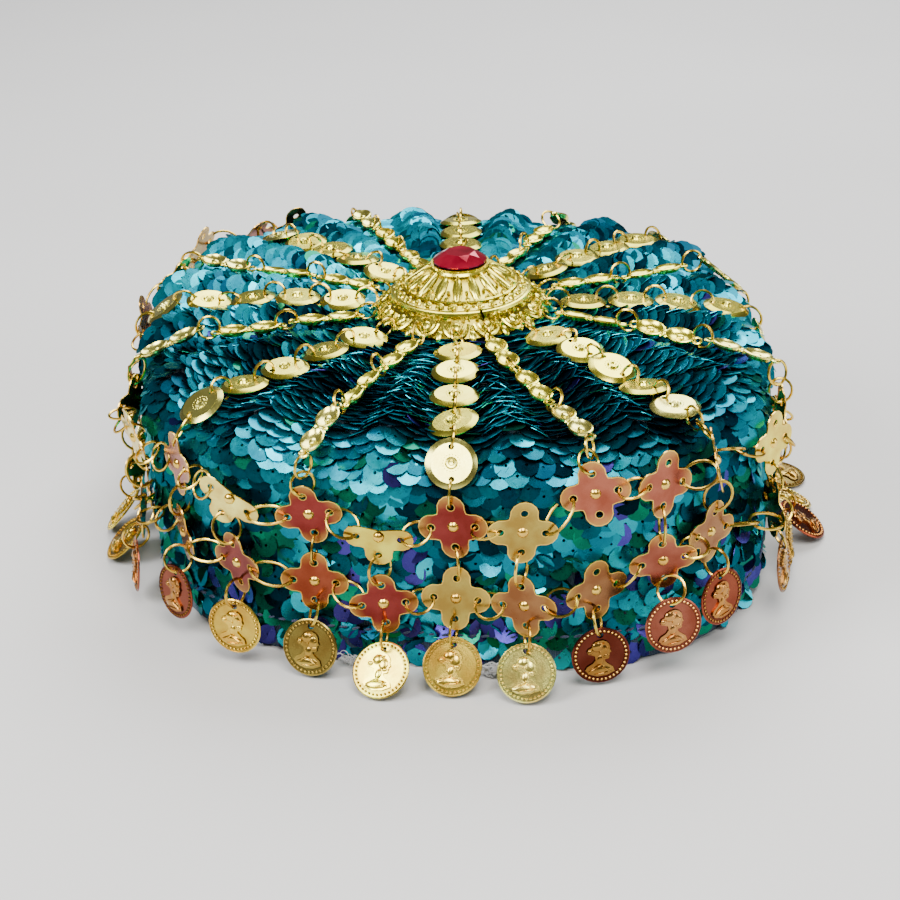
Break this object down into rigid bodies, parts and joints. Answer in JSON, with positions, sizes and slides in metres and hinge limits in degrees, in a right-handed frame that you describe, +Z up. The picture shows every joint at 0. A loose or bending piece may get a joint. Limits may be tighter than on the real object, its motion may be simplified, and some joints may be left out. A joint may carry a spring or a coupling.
{
  "type": "traditional pillbox hat",
  "caption": "Low oval pillbox hat of sequined cloth under a loose net of metal flowers, strands and coins that hang from a domed medallion with a red stone.",
  "frame": {"origin": "middle of the whole hat's box, on the surface that the rim stands on", "axes": "+Z up through the crown, +Y along the oval's long side; the hat's front is at -Y"},
  "size_m": [0.2008, 0.2168, 0.0809],
  "materials": {
    "sequins": "iridescent teal sequins sewn close over cloth",
    "cloth": "dark blue woven cloth with thread stitches",
    "lemon_gold": "bright lemon-gold stamped sheet",
    "old_brass": "worn brass sheet, from pale gold to copper",
    "red_glass": "faceted foil-backed red glass"
  },
  "bodies": {
    "root": {"crown_top": "sequins", "side_band": "sequins", "rim_hem": "cloth", "medallion": "lemon_gold", "red_stone": "red_glass", "disc_strand_1": "lemon_gold", "disc_strand_2": "lemon_gold", "disc_strand_3": "lemon_gold", "disc_strand_4": "lemon_gold", "disc_strand_5": "lemon_gold", "disc_strand_6": "lemon_gold", "disc_strand_7": "lemon_gold", "disc_strand_8": "lemon_gold", "oval_strand_1": "lemon_gold", "oval_strand_2": "lemon_gold", "oval_strand_3": "lemon_gold", "oval_strand_4": "lemon_gold", "oval_strand_5": "lemon_gold", "oval_strand_6": "lemon_gold", "oval_strand_7": "lemon_gold", "oval_strand_8": "lemon_gold", "net_drop_01": "old_brass", "net_drop_02": "old_brass", "net_drop_03": "old_brass", "net_drop_04": "old_brass", "net_drop_05": "old_brass", "net_drop_06": "old_brass", "net_drop_07": "old_brass", "net_drop_08": "old_brass", "net_drop_09": "old_brass", "net_drop_10": "old_brass", "net_drop_11": "old_brass", "net_drop_12": "old_brass", "net_drop_13": "old_brass", "net_drop_14": "old_brass", "net_drop_15": "old_brass", "net_drop_16": "old_brass", "net_drop_17": "old_brass", "net_drop_18": "old_brass", "net_drop_19": "old_brass", "net_drop_20": "old_brass", "net_drop_21": "old_brass", "net_drop_22": "old_brass", "net_drop_23": "old_brass", "net_drop_24": "old_brass", "net_drop_25": "old_brass", "net_drop_26": "old_brass", "net_drop_27": "old_brass", "net_drop_28": "old_brass", "net_drop_29": "old_brass", "net_drop_30": "old_brass", "net_drop_31": "old_brass", "net_drop_32": "old_brass"}
  },
  "joints": []
}
